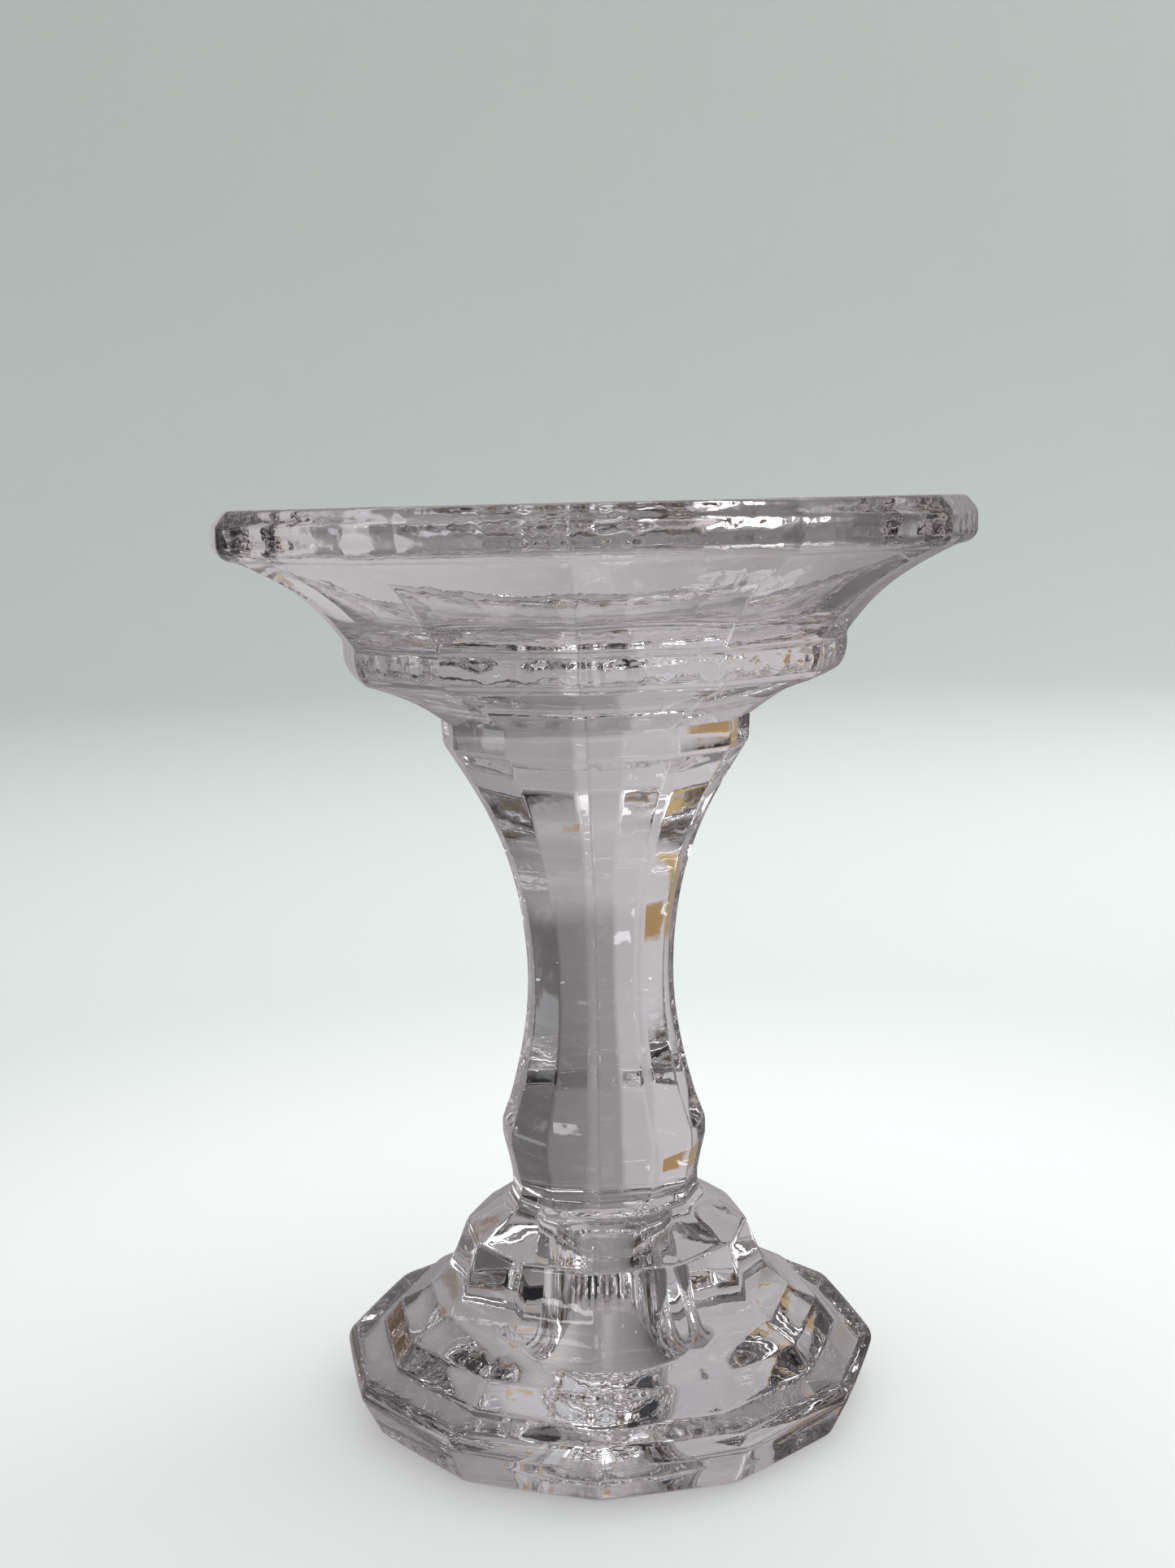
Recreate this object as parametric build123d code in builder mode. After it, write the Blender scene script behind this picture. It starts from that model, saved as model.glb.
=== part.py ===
from build123d import *
import math
import os

os.makedirs("parts", exist_ok=True)

# Clear glass candlestick. Its outside is cut in 12 flat panels all the way up.
# Origin: centre of the foot's underside, +Z up, one panel corner facing -Y.

PANELS = 12
HALF_PANEL = 360 / PANELS / 2
ACROSS_FLATS = math.cos(math.radians(HALF_PANEL))  # flat distance over corner radius

# Heights above the table
RIM_TOP = 152.4
RIM_BAND_TOP = 150.0
RIM_BAND_FOOT = 146.6
DISH_FLOOR = 135.5
BEAD_TOP = 130.4
BEAD_FOOT = 125.6
DISH_JOINT = 117.5
COLLAR_FOOT = 113.0
WAIST = 72.0
KNOP_TOP = 47.6
KNOP_FOOT = 44.8
FOOT_JOINT = 36.0
SHOULDER = 29.3
STEP_TOP = 14.6
STEP_FOOT = 10.5
FOOT_BAND_TOP = 7.9
FOOT_BAND_MID = 5.8

# Radii to the panel corners
RIM_TOP_R = 61.5
RIM_R = 63.4
BEAD_R = 41.9
COLLAR_R = 25.9
WAIST_R = 12.45
KNOP_R = 17.5
NECK_R = 16.0
SHOULDER_R = 24.2
STEP_TOP_R = 36.3
STEP_FOOT_R = 39.3
FOOT_R = 45.9
FOOT_UNDERSIDE_R = 42.6

# Round insides
SEAT_R = 38.5
LIP_R = 56.3
HOLLOW_MOUTH_R = 12.0
HOLLOW_WALL_R = 8.4
HOLLOW_TOP = 33.0

BOND = 0.1
BOND_INSET = 0.3


def flat(corner_radius, height):
    """The point of a panel's flat, from the radius to its corners."""
    return (corner_radius * ACROSS_FLATS, height)


def panel_planes():
    """One upright plane square to each pair of opposite panels."""
    return [
        Plane.XZ.rotated((0, 0, HALF_PANEL + 2 * HALF_PANEL * pair))
        for pair in range(PANELS // 2)
    ]


def panel_mode(pair):
    """The first pair of panels makes the solid and the others trim it."""
    return Mode.ADD if pair == 0 else Mode.INTERSECT


with BuildPart() as top_dish:
    for pair, plane in enumerate(panel_planes()):
        with BuildSketch(plane):
            with BuildLine():
                under = Line((0, DISH_JOINT + BOND / 2), flat(26.4, DISH_JOINT + BOND / 2))
                scotia = Spline(under @ 1, flat(31.6, 121.0), flat(39.0, 124.1))
                turn = ThreePointArc(scotia @ 1, flat(40.5, 124.7), flat(41.2, BEAD_FOOT))
                bead = ThreePointArc(turn @ 1, flat(42.0, 128.0), flat(BEAD_R, BEAD_TOP))
                flare = Spline(bead @ 1, flat(45.6, 135.0), flat(50.2, 139.0), flat(60.4, 144.6))
                lip = ThreePointArc(flare @ 1, flat(62.6, 145.3), flat(RIM_R, RIM_BAND_FOOT))
                band = Line(lip @ 1, flat(RIM_R, RIM_BAND_TOP))
                chamfer = Line(band @ 1, flat(RIM_TOP_R, RIM_TOP))
                top = Line(chamfer @ 1, (0, RIM_TOP))
                Line(top @ 1, under @ 0)
            make_face()
            mirror(about=Plane.YZ)
        extrude(amount=RIM_R, both=True, mode=panel_mode(pair))
    with BuildSketch(Plane.XZ):
        with BuildLine():
            seat = Line((0, DISH_FLOOR), (SEAT_R, DISH_FLOOR))
            corner = TangentArc(seat @ 1, (SEAT_R + 3.5, DISH_FLOOR + 1.5), tangent=seat % 1)
            wall = Spline(
                corner @ 1,
                (50.0, 144.4),
                (LIP_R, RIM_TOP),
                tangents=(corner % 1, (0.25, 1)),
            )
            mouth = Line(wall @ 1, (0, RIM_TOP))
            Line(mouth @ 1, seat @ 0)
        make_face()
    revolve(axis=Axis.Z, mode=Mode.SUBTRACT)

with BuildPart() as dish_bond:
    with BuildSketch(Plane.XY.offset(DISH_JOINT - BOND / 2)):
        RegularPolygon(COLLAR_R - BOND_INSET, PANELS)
    extrude(amount=BOND)

with BuildPart() as stem:
    for pair, plane in enumerate(panel_planes()):
        with BuildSketch(plane):
            with BuildLine():
                base = Line((0, FOOT_JOINT + BOND / 2), flat(NECK_R, FOOT_JOINT + BOND / 2))
                knop = Polyline(
                    base @ 1,
                    flat(NECK_R, 38.0),
                    flat(16.6, 41.1),
                    flat(KNOP_R, KNOP_FOOT),
                    flat(KNOP_R, KNOP_TOP),
                    flat(15.9, 51.8),
                    flat(15.0, 55.2),
                )
                column = Spline(
                    knop @ 1,
                    flat(13.4, 62.5),
                    flat(WAIST_R, WAIST),
                    flat(12.9, 81.0),
                    flat(14.5, 90.0),
                    flat(18.1, 100.0),
                    flat(COLLAR_R - 0.2, COLLAR_FOOT),
                    tangents=((-0.26, 1), (0.65, 1)),
                )
                collar = Line(column @ 1, flat(COLLAR_R, DISH_JOINT - BOND / 2))
                top = Line(collar @ 1, (0, DISH_JOINT - BOND / 2))
                Line(top @ 1, base @ 0)
            make_face()
            mirror(about=Plane.YZ)
        extrude(amount=COLLAR_R, both=True, mode=panel_mode(pair))

with BuildPart() as foot_bond:
    with BuildSketch(Plane.XY.offset(FOOT_JOINT - BOND / 2)):
        RegularPolygon(NECK_R - BOND_INSET, PANELS)
    extrude(amount=BOND)

with BuildPart() as foot:
    for pair, plane in enumerate(panel_planes()):
        with BuildSketch(plane):
            with BuildLine():
                underside = Line((0, 0), flat(FOOT_UNDERSIDE_R, 0))
                low_band = Line(underside @ 1, flat(45.4, FOOT_BAND_MID))
                edge = ThreePointArc(low_band @ 1, flat(FOOT_R, FOOT_BAND_TOP), flat(44.5, 9.7))
                slope = Line(edge @ 1, flat(STEP_FOOT_R, STEP_FOOT))
                step = Line(slope @ 1, flat(STEP_TOP_R, STEP_TOP))
                bell = Spline(
                    step @ 1,
                    flat(31.5, 17.1),
                    flat(27.9, 20.9),
                    flat(25.6, 25.6),
                    flat(SHOULDER_R, SHOULDER),
                )
                shoulder = Spline(
                    bell @ 1,
                    flat(19.6, 32.3),
                    flat(NECK_R, FOOT_JOINT - BOND / 2),
                    tangents=((-1, 0.55), (0, 1)),
                )
                top = Line(shoulder @ 1, (0, FOOT_JOINT - BOND / 2))
                Line(top @ 1, underside @ 0)
            make_face()
            mirror(about=Plane.YZ)
        extrude(amount=FOOT_R, both=True, mode=panel_mode(pair))
    with BuildSketch(Plane.XZ):
        with BuildLine():
            mouth = Line((0, 0), (HOLLOW_MOUTH_R, 0))
            hollow = Spline(
                mouth @ 1,
                (9.2, 8.0),
                (HOLLOW_WALL_R, 20.0),
                (8.2, 27.0),
                (6.0, 31.3),
                (0, HOLLOW_TOP),
                tangents=((-0.6, 1), (-1, 0)),
            )
            Line(hollow @ 1, mouth @ 0)
        make_face()
    revolve(axis=Axis.Z, mode=Mode.SUBTRACT)

PIECES = {
    "top_dish": top_dish,
    "dish_bond": dish_bond,
    "stem": stem,
    "foot_bond": foot_bond,
    "foot": foot,
}

for name, piece in PIECES.items():
    piece.part.label = name
    export_step(piece.part, f"parts/{name}.step")
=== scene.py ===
import math

import bpy
import numpy as np
from mathutils import Matrix, Vector

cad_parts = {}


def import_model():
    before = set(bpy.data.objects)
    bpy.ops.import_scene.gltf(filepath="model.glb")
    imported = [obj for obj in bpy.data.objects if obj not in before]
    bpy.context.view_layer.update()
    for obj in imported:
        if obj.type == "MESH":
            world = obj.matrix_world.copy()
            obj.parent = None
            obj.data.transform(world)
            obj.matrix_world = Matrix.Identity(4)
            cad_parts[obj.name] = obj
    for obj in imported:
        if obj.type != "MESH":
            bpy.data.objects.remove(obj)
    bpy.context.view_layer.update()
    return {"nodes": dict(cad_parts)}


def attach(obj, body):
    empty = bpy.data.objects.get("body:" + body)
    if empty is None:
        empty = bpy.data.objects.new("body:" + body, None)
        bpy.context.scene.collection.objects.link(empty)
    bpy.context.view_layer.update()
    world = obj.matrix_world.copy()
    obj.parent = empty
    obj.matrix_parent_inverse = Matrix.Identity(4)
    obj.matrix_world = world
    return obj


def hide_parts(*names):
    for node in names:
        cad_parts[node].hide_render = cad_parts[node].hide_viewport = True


# A clear pressed-glass candlestick: three pressings with 12 flat panels, joined by two thin films.
# Outlines are lists of (radius, height) in millimetres and match the CAD. Every mesh is made in metres.

MM = 0.001
PANELS = 12
HALF_PANEL = math.pi / PANELS

# How finely the glass is meshed
CORNER_STEPS = 6
FLAT_STEPS = 6
ARC_POINTS = 24
SAMPLE = 0.05  # mm between the samples of an outline while it is smoothed
MOST_TURN = math.radians(3.0)  # between two rings
MOST_GAP = 1.6  # mm between two rings
SAME_POINT = 1e-6  # mm
SAME_RING = 1e-4  # mm

# Fire polishing, which rounds every pressed edge
CORNER_ROUNDING = 2.2  # mm
FOOT_ROUNDING = 5.0
PANEL_CROWN = math.radians(1.6)  # how far a panel's edges lean back
EDGE_REACH = 0.5  # mm that the smoothing of an outline reaches to each side
SMOOTHING_TAIL = 4  # the smoothing is cut off at this many times its reach
GUIDE_GROWTH = 10.0  # mm from a circle out to the panelled ring that it takes its angles from

# Heights above the table and radii to the panel corners, as in the CAD
RIM_TOP = 152.4
RIM_R = 63.4
RIM_LOW = (RIM_R, 146.6)
RIM_HIGH = (RIM_R, 150.0)
RIM_INSET_R = 61.5
RIM_FLAT_R = 60.4
LIP_FOOT = (60.4, 144.6)
LIP_R = 56.3
SEAT_R = 38.5
DISH_FLOOR = 135.5
SEAT_BEND = (SEAT_R + 3.5, DISH_FLOOR + 1.5)
BEAD_TOP = (41.9, 130.4)
BEAD_FOOT = (41.2, 125.6)
SCOTIA_TOP = (39.0, 124.1)
SCOTIA_R = 26.4
DISH_JOINT = 117.5
COLLAR_R = 25.9
COLLAR_FOOT = (25.7, 113.0)
KNOP_HIGH = (15.0, 55.2)
FOOT_JOINT = 36.0
NECK_R = 16.0
SHOULDER = (24.2, 29.3)
STEP_FOOT = (39.3, 10.5)
UNDERSIDE_R = 42.6
HOLLOW_TOP = 33.0
MOUTH_R = 12.0
BOND = 0.1  # mm thick
BOND_INSET = 0.3
START = 1.0  # mm from the edge of a level face to where its outline starts
UNDERSIDE_START = 1.5

# Glass
IOR = 1.51
GLASS_TONE = (0.985, 0.979, 0.981)
# Painted shade: the glass is tinted darker in the foot band, near the table.
FOOT_BAND_PAINTED_SHADE = (0.92, 0.914, 0.916)
FOOT_BAND_SHADE_FADE = (0.019, 0.010)  # m above the table
SHADOW_TONE = (0.93, 0.92, 0.925)
RELIEF = 0.0006  # m
WAVES = {"Scale": 150.0, "Detail": 2.5}
WAVES_FADE = (0.044, 0.060)  # m from the axis
WAVE_STRENGTH = (0.12, 0.42)
RIPPLES = {"Scale": 420.0, "Detail": 1.5}
RIPPLES_FADE = (0.053, 0.060)  # m from the axis
RIPPLE_SHARE = 0.45
LENSES = {"Scale": 260.0, "Detail": 0.0}
LENS_STRETCH = (1, 1, 0.25)
LENS_SHARE = 1.5
BEAD_MIDDLE = 0.128  # m above the table
BEAD_FADE = (0.0026, 0.0018)  # m from its middle

# The adhesive films
FILM_TONE = (0.985, 0.98, 0.98)
BUBBLE_TONE = (0.80, 0.80, 0.80)
BUBBLES_SCALE = 900.0
BUBBLE_FADE = (0.06, 0.12)

# The studio, in metres. The floor is level as far as FLOOR_REACH and bends up into a wall.
FLOOR_RINGS = (0.4, 0.8)
FLOOR_REACH = 1.3
FLOOR_BEND = 0.7
FLOOR_BEND_POINTS = 16
WALL_TOP = 2.4
FLOOR_SEGMENTS = 128
# Painted light: the floor's paint is lighter near the object, a painted pool of light, and darker beyond it.
LIGHT_POOL_TONE = (0.90, 0.905, 0.905)
BEYOND_LIGHT_POOL_TONE = (0.70, 0.73, 0.715)
LIGHT_POOL_FADE = (0.10, 0.30)
AMBIENT = (0.62, 0.635, 0.63)
OBJECT_MIDDLE = (0, 0, 0.08)
SOFTBOXES = (  # name, place, size, watts, target
    ("top_light", (0.1, 0.35, 1.0), (0.7, 0.5), 5, OBJECT_MIDDLE),
    ("right_light", (0.9, 0.5, 0.8), (0.5, 0.5), 4, OBJECT_MIDDLE),
    ("wall_light", (0.9, 0.3, 1.5), (0.6, 0.6), 9, (0.9, 2.0, 0.9)),
)

# The camera, at the photograph's viewing angle
CAMERA_ROUND = math.radians(2.77)  # round the object, to the right of -Y
CAMERA_DISTANCE = 0.3137  # m from the axis
CAMERA_HEIGHT = 0.15175
CAMERA_HEADING = math.radians(3.04)
CAMERA_TILT = math.radians(81.63)
CAMERA_ROLL = math.radians(-1.31)
CAMERA_LENS = 43.23  # mm
CAMERA_NEAR = 0.01

GLASS_BOUNCES = 40
MIRROR_BOUNCES = 16

# What the glass shows of the room round it. Angles are in degrees: azimuth 0 is straight ahead of the
# viewer and 90 is to the right. Each band has the elevation where it starts and the height over which it
# blends in, and holds the brightness at some azimuths.
ROOM_BANDS = (
    (-90, 1, (
        (-180, 0.34), (-120, 0.20), (-60, 0.18), (-20, 0.30), (15, 0.24), (45, 0.20), (60, 0.42),
        (85, 0.36), (130, 0.10), (180, 0.34),
    )),
    (-38, 10, (
        (-180, 0.20), (-150, 0.06), (-130, 0.12), (-85, 0.18), (-62, 0.28), (-44, 0.62), (-20, 0.53),
        (-8, 0.42), (-3, 0.33), (12, 0.26), (30, 0.12), (48, 0.16), (85, 0.16), (115, 0.07), (150, 0.24),
        (180, 0.20),
    )),
    (7, 8, (
        (-180, 0.16), (-140, 0.10), (-112, 0.25), (-88, 0.38), (-62, 0.30), (-44, 0.62), (-5, 0.52),
        (12, 0.38), (30, 0.38), (46, 0.24), (90, 0.17), (126, 0.08), (145, 0.30), (180, 0.16),
    )),
    (29, 8, (
        (-180, 0.38), (-102, 0.55), (-70, 0.40), (-47, 0.50), (0, 0.54), (22, 0.42), (54, 0.28),
        (100, 0.12), (150, 0.38), (180, 0.38),
    )),
)
ROOM_TINT = (1.0, 0.955, 0.985)

# Things in the room: (azimuth, elevation, width, height, softness) and a colour.
# Later ones cover earlier ones.
ROOM = (
    ((-46, 13, 7, 26, 3), (0.52, 0.35, 0.14)),  # wood at the left of the backdrop
    ((-37, 4, 6, 8, 2), (0.40, 0.26, 0.12)),  # wood low at the left
    ((50, 46, 10, 8, 4), (0.22, 0.13, 0.08)),  # something brown at the right
    ((14, 34, 9, 3, 1.5), (0.42, 0.31, 0.17)),  # wood above
    ((-108, 16, 7, 24, 3), (0.58, 0.42, 0.19)),  # wood beside the viewer, at the left
    ((-98, 17, 3, 20, 2), (0.66, 0.50, 0.24)),  # wood near it
    ((-112, 56, 60, 30, 12), (0.60, 0.62, 0.64)),  # a glow on the ceiling
    ((112, 64, 60, 20, 6), (0.05, 0.055, 0.06)),  # a dark part of the ceiling
    ((144, 0, 32, 110, 8), (0.018, 0.018, 0.02)),  # the viewer
    ((-140, 72, 44, 16, 5), (1.5, 1.55, 1.6)),  # sky
    ((-90, -7, 22, 12, 1.5), (2.2, 2.25, 2.3)),  # a low window at the left
    ((172, 62, 20, 10, 3), (2.2, 2.2, 2.1)),  # a ceiling light
)
WINDOWS = ((-158, 44), (-134, 40), (172, -66), (66, -54))  # of four panes each
PANE_OFFSET = 4.5
PANE = (7.5, 7.5, 1)
WINDOW_LIGHT = (3.2, 3.3, 3.4)
GLINTS = ((150, -33), (-152, -34), (166, -18), (-164, -46), (140, -12))  # small far windows
GLINT = (4, 2, 0.6)
GLINT_LIGHT = (7.0, 7.2, 7.6)
RING_LIGHTS = ((-143, 18, 5.5), (178, 50, 3))  # azimuth, elevation, radius
RING_FADE = (0.22, 0.12)  # half of the tube's thickness, in shares of the radius
RING_LIGHT = (6.0, 6.0, 6.0)

CLUTTER_NOISE = {"Scale": 7.0, "Detail": 4.0, "Roughness": 0.6}
CLUTTER = (  # how much brighter, by noise
    (0.37, (0.08, 0.08, 0.08)), (0.43, (0.60, 0.42, 0.24)), (0.47, (0.62, 0.60, 0.58)),
    (0.53, (1.1, 1.1, 1.1)), (0.60, (2.0, 2.0, 2.0)), (0.66, (5.0, 5.0, 5.2)),
)
CLUTTER_FADE = (0.55, 0.1)  # how far ahead a direction points


# ---- outlines ----

def lengths(points):
    """The distance from each point to the next."""
    return np.hypot(*np.diff(points, axis=0).T)


def curve(points, start=None, end=None):
    """A smooth curve through the points. start and end are directions; without one, the end is free."""
    p = np.array(points, float)
    chord = lengths(p)
    count = len(p)
    system = np.zeros((count, count))
    wanted = np.zeros((count, 2))
    for i in range(1, count - 1):
        before, after = chord[i - 1], chord[i]
        system[i, i - 1:i + 2] = after, 2 * (before + after), before
        wanted[i] = 3 * (after / before * (p[i] - p[i - 1]) + before / after * (p[i + 1] - p[i]))
    for i, j, direction in ((0, 1, start), (count - 1, count - 2, end)):
        if direction is None:
            system[i, i], system[i, j] = 2, 1
            wanted[i] = 3 * (p[max(i, j)] - p[min(i, j)]) / chord[min(i, j)]
        else:
            system[i, i] = 1
            wanted[i] = np.array(direction) / np.hypot(*direction)
    slope = np.linalg.solve(system, wanted)
    made = []
    for i in range(count - 1):
        t = np.linspace(0, 1, max(2, int(chord[i] / SAMPLE)))[:, None]
        made.append(
            (2 * t**3 - 3 * t**2 + 1) * p[i] + (t**3 - 2 * t**2 + t) * chord[i] * slope[i]
            + (3 * t**2 - 2 * t**3) * p[i + 1] + (t**3 - t**2) * chord[i] * slope[i + 1]
        )
    return np.vstack(made)


def arc(first, via, last):
    """The circular arc through three points."""
    (ax, ay), (bx, by), (cx, cy) = first, via, last
    d = 2 * (ax * (by - cy) + bx * (cy - ay) + cx * (ay - by))
    a2, b2, c2 = ax * ax + ay * ay, bx * bx + by * by, cx * cx + cy * cy
    centre = np.array((
        (a2 * (by - cy) + b2 * (cy - ay) + c2 * (ay - by)) / d,
        (a2 * (cx - bx) + b2 * (ax - cx) + c2 * (bx - ax)) / d,
    ))
    at = [math.atan2(q[1] - centre[1], q[0] - centre[0]) for q in (first, via, last)]
    middle = at[0] + math.remainder(at[1] - at[0], math.tau)
    end = middle + math.remainder(at[2] - at[1], math.tau)
    turn = np.linspace(at[0], end, ARC_POINTS)
    radius = math.hypot(ax - centre[0], ay - centre[1])
    return centre + radius * np.column_stack((np.cos(turn), np.sin(turn)))


def polished(*stretches):
    """Joins stretches into one outline, rounds its edges and keeps the points that its shape needs.
    Gives the points and the outline's direction at each."""
    p = np.vstack([np.array(s, float) for s in stretches])
    p = p[np.r_[True, lengths(p) > SAME_POINT]]
    along = np.r_[0, np.cumsum(lengths(p))]
    count = int(along[-1] / SAMPLE) + 1
    even = np.linspace(0, along[-1], count)
    p = np.column_stack([np.interp(even, along, p[:, i]) for i in (0, 1)])
    reach = int(SMOOTHING_TAIL * EDGE_REACH / SAMPLE)
    weight = np.exp(-0.5 * (np.arange(-reach, reach + 1) * SAMPLE / EDGE_REACH) ** 2)
    weight /= weight.sum()
    beyond = np.vstack((2 * p[0] - p[reach:0:-1], p, 2 * p[-1] - p[-2:-reach - 2:-1]))
    p = np.column_stack([np.convolve(beyond[:, i], weight, "valid") for i in (0, 1)])
    direction = np.gradient(p, axis=0)
    direction /= np.hypot(*direction.T)[:, None]
    heading = np.unwrap(np.arctan2(direction[:, 1], direction[:, 0]))
    kept = [0]
    for i in range(1, count - 1):
        turned = abs(heading[i + 1] - heading[kept[-1]])
        if turned > MOST_TURN or (i + 1 - kept[-1]) * SAMPLE > MOST_GAP:
            kept.append(i)
    kept.append(count - 1)
    return p[kept], direction[kept]


# ---- meshes: rings of points joined by bands of faces ----

def headings(angles):
    """A unit vector for each angle."""
    return np.column_stack((np.cos(angles), np.sin(angles)))


def panelled(rounding):
    """A maker of rings with 12 panels, each slightly crowned, and corners rounded to a radius. It takes
    the radius to the sharp corners and gives the ring's points in mm and their outward directions,
    anticlockwise from the corner that faces -Y."""
    swing = HALF_PANEL - PANEL_CROWN
    corner = np.linspace(-swing, swing, CORNER_STEPS + 1)
    panel = HALF_PANEL + np.linspace(-PANEL_CROWN, PANEL_CROWN, FLAT_STEPS + 1)[1:-1]

    def ring(radius):
        to_corner = radius - rounding
        behind = to_corner * math.sin(swing) / math.sin(PANEL_CROWN)
        crown_radius = rounding + to_corner * math.sin(HALF_PANEL) / math.sin(PANEL_CROWN)
        points, outward = [], []
        for k in range(PANELS):
            at = -math.pi / 2 + 2 * HALF_PANEL * k
            middle = at + HALF_PANEL
            facing = headings(at + corner)
            points.append(to_corner * np.array((math.cos(at), math.sin(at))) + rounding * facing)
            outward.append(facing)
            facing = headings(at + panel)
            points.append(crown_radius * facing - behind * np.array((math.cos(middle), math.sin(middle))))
            outward.append(facing)
        return np.vstack(points), np.vstack(outward)

    return ring


CRISP = panelled(CORNER_ROUNDING)
SOFT = panelled(FOOT_ROUNDING)


def rounded(radius):
    """A circle with as many points as a panelled ring, at about the same angles."""
    points = CRISP(radius + GUIDE_GROWTH)[0]
    outward = points / np.hypot(*points.T)[:, None]
    return outward * radius, outward


def at_height(points, height):
    return np.column_stack((points, np.full(len(points), height)))


class Pressing:
    """Collects the rings of a closed piece, from the axis to the axis, and makes its mesh."""

    def __init__(self, centre):
        self.verts = [np.array([(0, 0, centre)], float)]
        self.count = 1
        self.last = None
        self.faces = []
        self.normals = []
        self.joint = []

    def _ring(self, shape, radius, height):
        """Adds a ring of points and gives their numbers."""
        points = at_height(shape(radius)[0], height)
        self.verts.append(points)
        index = np.arange(self.count, self.count + len(points))
        self.count += len(points)
        return index

    def _is_last(self, shape, radius, height):
        """Whether the last ring is this one already."""
        there = self.verts[-1]
        here = at_height(shape(radius)[0], height)
        return there.shape == here.shape and np.abs(there - here).max() < SAME_RING

    @staticmethod
    def _facing(shape, radius, direction):
        """Which way the surface faces at a ring, from the outline's direction there."""
        run, rise = direction
        points, outward = shape(radius)
        lean = ((shape(radius + 1)[0] - points) * outward).sum(1)
        n = np.column_stack((rise * outward, -run * lean))
        return n / np.linalg.norm(n, axis=1)[:, None]

    def _band(self, index, facing, before, joint=False):
        """Joins the last ring, or at first the centre, to this one. The last ring faces as in before."""
        count = len(index)
        for j in range(count):
            k = (j + 1) % count
            if self.last is None:
                self.faces.append((0, index[k], index[j]))
                self.normals += [facing[j], facing[k], facing[j]]
            else:
                self.faces.append((self.last[j], self.last[k], index[k], index[j]))
                self.normals += [before[j], before[k], facing[k], facing[j]]
            self.joint.append(joint)
        self.last = index

    def level(self, shape, radius, height, facing_z, joint=False):
        """A level stretch out or in to a ring."""
        index = self._ring(shape, radius, height)
        facing = np.tile((0.0, 0.0, facing_z), (len(index), 1))
        self._band(index, facing, facing, joint)

    def run(self, shape, outline):
        """A stretch along an outline, from the last ring or from the outline's first point."""
        before = None
        for (radius, height), direction in zip(*outline):
            facing = self._facing(shape, radius, direction)
            if before is None:
                before = facing
                if self.last is not None and self._is_last(shape, radius, height):
                    continue
            self._band(self._ring(shape, radius, height), facing, before)
            before = facing

    def close(self, height, facing_z, joint=False):
        """The fan from the last ring in to the axis."""
        self.verts.append(np.array([(0, 0, height)], float))
        count = len(self.last)
        for j in range(count):
            self.faces.append((self.last[j], self.last[(j + 1) % count], self.count))
            self.normals += [np.array((0.0, 0.0, facing_z))] * 3
            self.joint.append(joint)

    def mesh(self, name, materials):
        """The piece as an object. Its joint faces take the second material."""
        data = bpy.data.meshes.new(name)
        data.from_pydata((np.vstack(self.verts) * MM).tolist(), [], [tuple(map(int, f)) for f in self.faces])
        for material in materials:
            data.materials.append(material)
        data.polygons.foreach_set("material_index", [int(j) for j in self.joint])
        data.polygons.foreach_set("use_smooth", [True] * len(self.faces))
        data.normals_split_custom_set([tuple(map(float, n)) for n in self.normals])
        data.update()
        return placed(name, data)


def placed(name, data):
    """A new object in the scene."""
    made = bpy.data.objects.new(name, data)
    bpy.context.scene.collection.objects.link(made)
    return made


def dish_mesh(materials):
    low = DISH_JOINT + BOND / 2
    scotia = curve(((SCOTIA_R, low), (31.6, 121.0), SCOTIA_TOP))
    turn = arc(SCOTIA_TOP, (40.5, 124.7), BEAD_FOOT)
    bead = arc(BEAD_FOOT, (42.0, 128.0), BEAD_TOP)
    flare = curve((BEAD_TOP, (45.6, 135.0), (50.2, 139.0), LIP_FOOT))
    lip = arc(LIP_FOOT, (62.6, 145.3), RIM_LOW)
    rim = (RIM_HIGH, (RIM_INSET_R, RIM_TOP), (RIM_FLAT_R, RIM_TOP))
    outside = polished(scotia, turn, bead, flare, lip, rim)
    floor_bend = arc((SEAT_R, DISH_FLOOR), (SEAT_R + 2.05, DISH_FLOOR + 0.36), SEAT_BEND)
    wall = curve((SEAT_BEND, (50.0, 144.4), (LIP_R, RIM_TOP)), start=(2.0, 2.1), end=(0.25, 1))
    inside = polished(((LIP_R + START, RIM_TOP),), wall[::-1], floor_bend[::-1], ((20, DISH_FLOOR),))
    piece = Pressing(low)
    piece.level(CRISP, COLLAR_R - BOND_INSET, low, -1, joint=True)
    piece.level(CRISP, SCOTIA_R, low, -1)
    piece.run(CRISP, outside)
    piece.level(rounded, LIP_R + START, RIM_TOP, 1)
    piece.run(rounded, inside)
    piece.close(DISH_FLOOR, 1)
    return piece.mesh("glass_dish", materials)


def stem_mesh(materials):
    low = FOOT_JOINT + BOND / 2
    high = DISH_JOINT - BOND / 2
    knop = ((NECK_R, 38.0), (16.6, 41.1), (17.5, 44.8), (17.5, 47.6), (15.9, 51.8), KNOP_HIGH)
    column = curve(
        (KNOP_HIGH, (13.4, 62.5), (12.45, 72.0), (12.9, 81.0), (14.5, 90.0), (18.1, 100.0), COLLAR_FOOT),
        start=(-0.26, 1),
        end=(0.65, 1),
    )
    outside = polished(((NECK_R, low),), knop, column, ((COLLAR_R, high),))
    piece = Pressing(low)
    piece.level(CRISP, NECK_R - BOND_INSET, low, -1, joint=True)
    piece.level(CRISP, NECK_R, low, -1)
    piece.run(CRISP, outside)
    piece.level(CRISP, COLLAR_R - BOND_INSET, high, 1)
    piece.close(high, 1, joint=True)
    return piece.mesh("glass_stem", materials)


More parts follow.
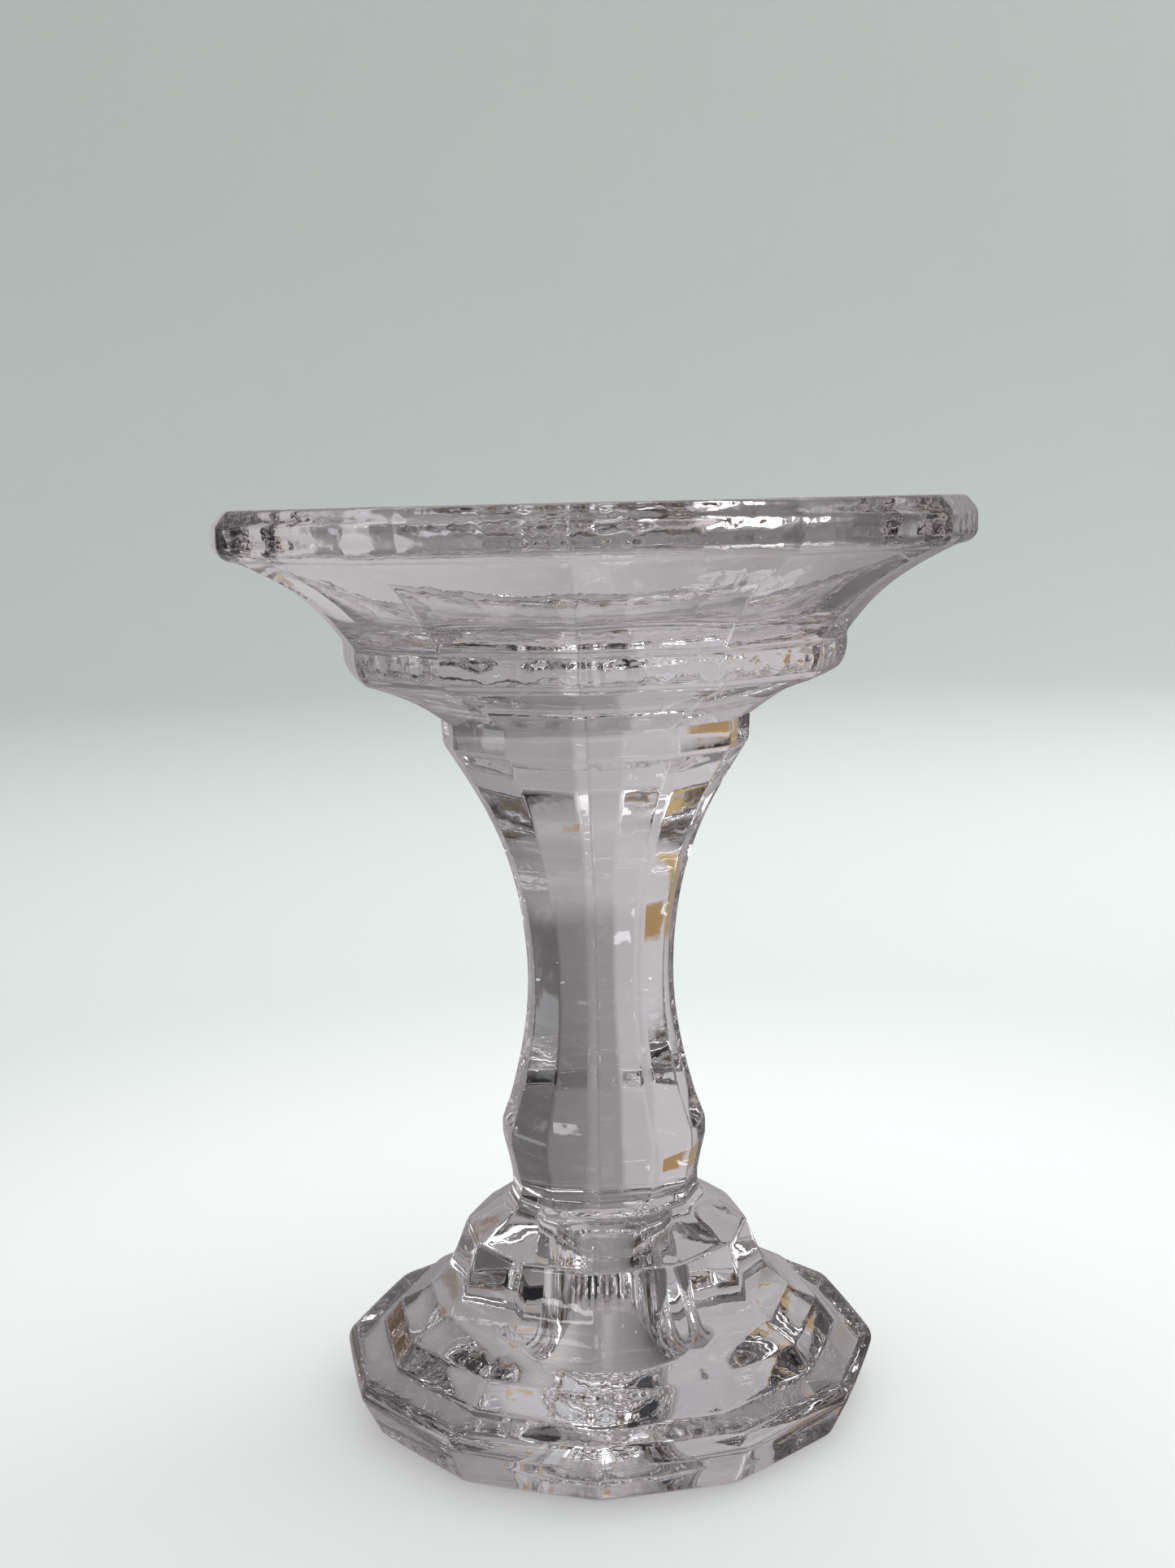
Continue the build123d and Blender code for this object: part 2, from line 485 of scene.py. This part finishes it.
def foot_mesh(materials):
    high = FOOT_JOINT - BOND / 2
    underside = ((UNDERSIDE_R - UNDERSIDE_START, 0), (UNDERSIDE_R, 0))
    edge = arc((45.4, 5.8), (45.9, 7.9), (44.5, 9.7))
    bell = curve(((36.3, 14.6), (31.5, 17.1), (27.9, 20.9), (25.6, 25.6), SHOULDER))
    shoulder = curve((SHOULDER, (19.6, 32.3), (NECK_R, high)), start=(-1, 0.55), end=(0, 1))
    outside = polished(underside, edge, (STEP_FOOT,), bell, shoulder)
    wall = curve(
        ((0.0, HOLLOW_TOP), (6.0, 31.3), (8.2, 27.0), (8.4, 20.0), (9.2, 8.0), (MOUTH_R, 0)),
        start=(1, 0),
        end=(0.6, -1),
    )
    hollow = polished(wall[1:], ((MOUTH_R + START, 0),))
    piece = Pressing(HOLLOW_TOP)
    piece.run(rounded, hollow)
    piece.level(SOFT, UNDERSIDE_R - UNDERSIDE_START, 0, -1)
    piece.run(SOFT, outside)
    piece.level(SOFT, NECK_R - BOND_INSET, high, 1)
    piece.close(high, 1, joint=True)
    return piece.mesh("glass_foot", materials)


# ---- nodes ----

def node(tree, kind, inputs, **settings):
    """Adds a node and feeds its inputs by place, each from a socket or a plain value."""
    made = tree.nodes.new(kind)
    for name, value in settings.items():
        setattr(made, name, value)
    for place, value in inputs.items():
        if isinstance(value, bpy.types.NodeSocket):
            tree.links.new(value, made.inputs[place])
        else:
            made.inputs[place].default_value = value
    return made


def calc(tree, operation, *values):
    return node(tree, "ShaderNodeMath", dict(enumerate(values)), operation=operation).outputs[0]


def vector(tree, operation, *values, output="Vector"):
    return node(tree, "ShaderNodeVectorMath", dict(enumerate(values)), operation=operation).outputs[output]


def fade(tree, value, limits, low=0.0, high=1.0):
    """Goes smoothly from low to high as the value goes from the first limit to the second."""
    inputs = dict(enumerate((value, *limits, low, high)))
    return node(tree, "ShaderNodeMapRange", inputs, interpolation_type="SMOOTHSTEP").outputs[0]


def noise(tree, place, settings):
    return node(tree, "ShaderNodeTexNoise", {"Vector": place, **settings}).outputs["Fac"]


def object_place(tree):
    return node(tree, "ShaderNodeTexCoord", {}).outputs["Object"]


def ramp(tree, value, stops):
    """Colours by value. Each stop is a place and a colour."""
    made = node(tree, "ShaderNodeValToRGB", {0: value})
    elements = made.color_ramp.elements
    for at, (place, colour) in enumerate(stops):
        stop = elements[at] if at < 2 else elements.new(place)
        stop.position = place
        stop.color = (*colour, 1)
    return made.outputs[0]


def covered(tree, under, share, colour, blend="MIX"):
    """under, with colour over it by share."""
    under, colour = (c if isinstance(c, bpy.types.NodeSocket) else (*c, 1) for c in (under, colour))
    inputs = {"Factor": share, 6: under, 7: colour}
    return node(tree, "ShaderNodeMix", inputs, data_type="RGBA", blend_type=blend).outputs[2]


# ---- materials ----

def new_material(name):
    material = bpy.data.materials.new(name)
    material.use_nodes = True
    material.node_tree.nodes.clear()
    return material, material.node_tree


def surface(tree, shader):
    node(tree, "ShaderNodeOutputMaterial", {"Surface": shader.outputs[0]})


def pressed_glass():
    """Clear glass with a faint lilac tone, a little darker in the foot band, which is painted shade. A mould
    leaves slight waves in it, with fine ripples on the rim and small upright lenses in the bead. Its shadow
    is light."""
    material, tree = new_material("pressed_glass")
    place = object_place(tree)
    height = node(tree, "ShaderNodeSeparateXYZ", {0: place}).outputs["Z"]
    level = vector(tree, "MULTIPLY", place, (1, 1, 0))
    away = vector(tree, "LENGTH", level, output="Value")
    strength = fade(tree, away, WAVES_FADE, *WAVE_STRENGTH)
    on_rim = fade(tree, away, RIPPLES_FADE, 0.0, RIPPLE_SHARE)
    relief = calc(tree, "MULTIPLY_ADD", noise(tree, place, RIPPLES), on_rim, noise(tree, place, WAVES))
    off = calc(tree, "ABSOLUTE", calc(tree, "SUBTRACT", height, BEAD_MIDDLE))
    in_bead = fade(tree, off, BEAD_FADE)
    lenses = noise(tree, vector(tree, "MULTIPLY", place, LENS_STRETCH), LENSES)
    relief = calc(tree, "MULTIPLY_ADD", calc(tree, "MULTIPLY", lenses, LENS_SHARE), in_bead, relief)
    strength = calc(tree, "MAXIMUM", strength, in_bead)
    bump = node(tree, "ShaderNodeBump", {"Strength": strength, "Distance": RELIEF, "Height": relief})
    # Painted shade: a darker tint in the foot band, near the table.
    tone = covered(tree, GLASS_TONE, fade(tree, height, FOOT_BAND_SHADE_FADE), FOOT_BAND_PAINTED_SHADE)
    looks = {"Color": tone, "Roughness": 0.0, "IOR": IOR, "Normal": bump.outputs["Normal"]}
    glass = node(tree, "ShaderNodeBsdfGlass", looks)
    clear = node(tree, "ShaderNodeBsdfTransparent", {"Color": (*SHADOW_TONE, 1)})
    in_shadow = node(tree, "ShaderNodeLightPath", {}).outputs["Is Shadow Ray"]
    shaders = {0: in_shadow, 1: glass.outputs["BSDF"], 2: clear.outputs["BSDF"]}
    surface(tree, node(tree, "ShaderNodeMixShader", shaders))
    return material


def bonded_face():
    """Glass that is wet with the bond on both sides, so light goes straight on."""
    material, tree = new_material("bonded_face")
    surface(tree, node(tree, "ShaderNodeBsdfTransparent", {}))
    return material


def bond_film():
    """Cured clear adhesive: it lets light straight through, dims it a little and holds a few fine bubbles."""
    material, tree = new_material("bond_film")
    bubbles = node(tree, "ShaderNodeTexVoronoi", {"Vector": object_place(tree), "Scale": BUBBLES_SCALE})
    share = fade(tree, bubbles.outputs["Distance"], BUBBLE_FADE, 1.0, 0.0)
    tone = covered(tree, FILM_TONE, share, BUBBLE_TONE)
    surface(tree, node(tree, "ShaderNodeBsdfTransparent", {"Color": tone}))
    return material


def floor_with_painted_light_pool():
    """Plain matt paint with a painted pool of light: lighter near the object, a little darker away from it.
    """
    material, tree = new_material("floor_with_painted_light_pool")
    away = vector(tree, "LENGTH", object_place(tree), output="Value")
    # Painted pool of light: the paint is lighter near the object and darker away from it.
    tone = covered(tree, LIGHT_POOL_TONE, fade(tree, away, LIGHT_POOL_FADE), BEYOND_LIGHT_POOL_TONE)
    surface(tree, node(tree, "ShaderNodeBsdfDiffuse", {"Color": tone}))
    return material


# ---- the studio ----

def sweep():
    """A plain pale floor that curves up into a wall on every side. The glass doesn't show it."""
    turn = np.linspace(0, math.pi / 2, FLOOR_BEND_POINTS)
    bend = np.column_stack((FLOOR_REACH + FLOOR_BEND * np.sin(turn), FLOOR_BEND - FLOOR_BEND * np.cos(turn)))
    outline = np.vstack(([(radius, 0) for radius in FLOOR_RINGS], bend, (FLOOR_REACH + FLOOR_BEND, WALL_TOP)))
    around = np.linspace(0, math.tau, FLOOR_SEGMENTS, endpoint=False)
    verts = [(0, 0, 0)]
    for radius, height in outline:
        verts += [(radius * math.cos(a), radius * math.sin(a), height) for a in around]
    count = FLOOR_SEGMENTS
    faces = [(0, 1 + j, 1 + (j + 1) % count) for j in range(count)]
    for i in range(len(outline) - 1):
        a, b = 1 + i * count, 1 + (i + 1) * count
        for j in range(count):
            k = (j + 1) % count
            faces.append((a + j, b + j, b + k, a + k))
    data = bpy.data.meshes.new("studio_floor")
    data.from_pydata(verts, [], faces)
    data.polygons.foreach_set("use_smooth", [True] * len(faces))
    data.materials.append(floor_with_painted_light_pool())
    floor = placed("studio_floor", data)
    floor.visible_glossy = floor.visible_transmission = False


def softbox(name, place, size, power, target):
    """A rectangular light that faces the target. Neither the camera nor the glass shows it."""
    data = bpy.data.lights.new(name, "AREA")
    data.shape = "RECTANGLE"
    data.size, data.size_y = size
    data.energy = power
    lamp = placed(name, data)
    lamp.location = place
    lamp.rotation_euler = (Vector(target) - lamp.location).to_track_quat("-Z", "Y").to_euler()
    lamp.visible_camera = lamp.visible_glossy = lamp.visible_transmission = False


def patches():
    """Everything in the room that is a patch of light or colour."""
    yield from ROOM
    for azimuth, elevation in WINDOWS:
        for column in (-1, 1):
            for row in (-1, 1):
                yield (azimuth + PANE_OFFSET * column, elevation + PANE_OFFSET * row, *PANE), WINDOW_LIGHT
    for azimuth, elevation in GLINTS:
        yield (azimuth, elevation, *GLINT), GLINT_LIGHT


def patch_mask(tree, turn, rise, patch):
    """1 inside a patch of directions and 0 outside it, with soft edges."""
    azimuth, elevation, width, height, soft = patch
    sides = []
    for angle, middle, size in ((turn, azimuth, width), (rise, elevation, height)):
        away = calc(tree, "WRAP", calc(tree, "SUBTRACT", angle, middle), 180, -180)
        limits = ((size + soft) / 2, (size - soft) / 2)
        sides.append(fade(tree, calc(tree, "ABSOLUTE", away), limits))
    return calc(tree, "MULTIPLY", *sides)


def ring_mask(tree, way, azimuth, elevation, radius):
    """1 on a ring of directions and 0 off it."""
    turn, rise = math.radians(azimuth), math.radians(elevation)
    middle = (math.sin(turn) * math.cos(rise), math.sin(rise), math.cos(turn) * math.cos(rise))
    near = vector(tree, "DOT_PRODUCT", way, middle, output="Value")
    away = calc(tree, "DEGREES", calc(tree, "ARCCOSINE", near))
    off = calc(tree, "ABSOLUTE", calc(tree, "SUBTRACT", away, radius))
    return fade(tree, off, [radius * share for share in RING_FADE])


def room_light(tree):
    """The room as the glass shows it: level bands, broken up behind and beside the viewer into the lights
    and darks of a furnished room, then its patches. It turns with the viewer, so that the glass looks
    alike from every side."""
    place = node(tree, "ShaderNodeTexCoord", {}).outputs["Camera"]
    way = vector(tree, "NORMALIZE", place)
    right, up, ahead = node(tree, "ShaderNodeSeparateXYZ", {0: way}).outputs
    turn = calc(tree, "DEGREES", calc(tree, "ARCTAN2", right, ahead))
    rise = calc(tree, "DEGREES", calc(tree, "ARCSINE", up))
    along = node(tree, "ShaderNodeMapRange", {0: turn, 1: -180, 2: 180, 3: 0, 4: 1}).outputs[0]
    seen = (0.0, 0.0, 0.0)
    for start, blend, stops in ROOM_BANDS:
        tones = [((azimuth + 180) / 360, [bright * t for t in ROOM_TINT]) for azimuth, bright in stops]
        share = fade(tree, rise, (start - blend / 2, start + blend / 2))
        seen = covered(tree, seen, share, ramp(tree, along, tones))
    clutter = ramp(tree, noise(tree, way, CLUTTER_NOISE), CLUTTER)
    seen = covered(tree, seen, fade(tree, ahead, CLUTTER_FADE), clutter, blend="MULTIPLY")
    for patch, colour in patches():
        seen = covered(tree, seen, patch_mask(tree, turn, rise, patch), colour)
    for ring in RING_LIGHTS:
        seen = covered(tree, seen, ring_mask(tree, way, *ring), RING_LIGHT)
    return seen


def studio():
    sweep()
    for lamp in SOFTBOXES:
        softbox(*lamp)
    world = bpy.data.worlds.new("studio")
    world.use_nodes = True
    tree = world.node_tree
    path = node(tree, "ShaderNodeLightPath", {})
    in_glass = calc(tree, "MAXIMUM", path.outputs["Is Glossy Ray"], path.outputs["Is Transmission Ray"])
    seen = covered(tree, AMBIENT, in_glass, room_light(tree))
    tree.links.new(seen, tree.nodes["Background"].inputs["Color"])
    bpy.context.scene.world = world


def camera():
    data = bpy.data.cameras.new("camera")
    data.lens = CAMERA_LENS
    data.clip_start = CAMERA_NEAR
    eye = placed("camera", data)
    x, y = CAMERA_DISTANCE * math.sin(CAMERA_ROUND), -CAMERA_DISTANCE * math.cos(CAMERA_ROUND)
    pose = Matrix.Translation((x, y, CAMERA_HEIGHT))
    for angle, axis in ((CAMERA_HEADING, "Z"), (CAMERA_TILT, "X"), (CAMERA_ROLL, "Z")):
        pose = pose @ Matrix.Rotation(angle, 4, axis)
    eye.matrix_world = pose
    bpy.context.scene.camera = eye


def main():
    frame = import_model()
    materials = (pressed_glass(), bonded_face())
    film = bond_film()
    for make, replaced in ((dish_mesh, "top_dish"), (stem_mesh, "stem"), (foot_mesh, "foot")):
        piece = make(materials)
        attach(piece, "root")
        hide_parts(replaced)
    for name in ("dish_bond", "foot_bond"):
        bond = frame["nodes"][name]
        bond.data.materials.clear()
        bond.data.materials.append(film)
    studio()
    camera()
    scene = bpy.context.scene
    scene.view_settings.view_transform = "Standard"
    scene.cycles.max_bounces = GLASS_BOUNCES
    scene.cycles.transmission_bounces = GLASS_BOUNCES
    scene.cycles.transparent_max_bounces = GLASS_BOUNCES
    scene.cycles.glossy_bounces = MIRROR_BOUNCES
    scene.cycles.caustics_refractive = False
    scene.cycles.caustics_reflective = False


main()
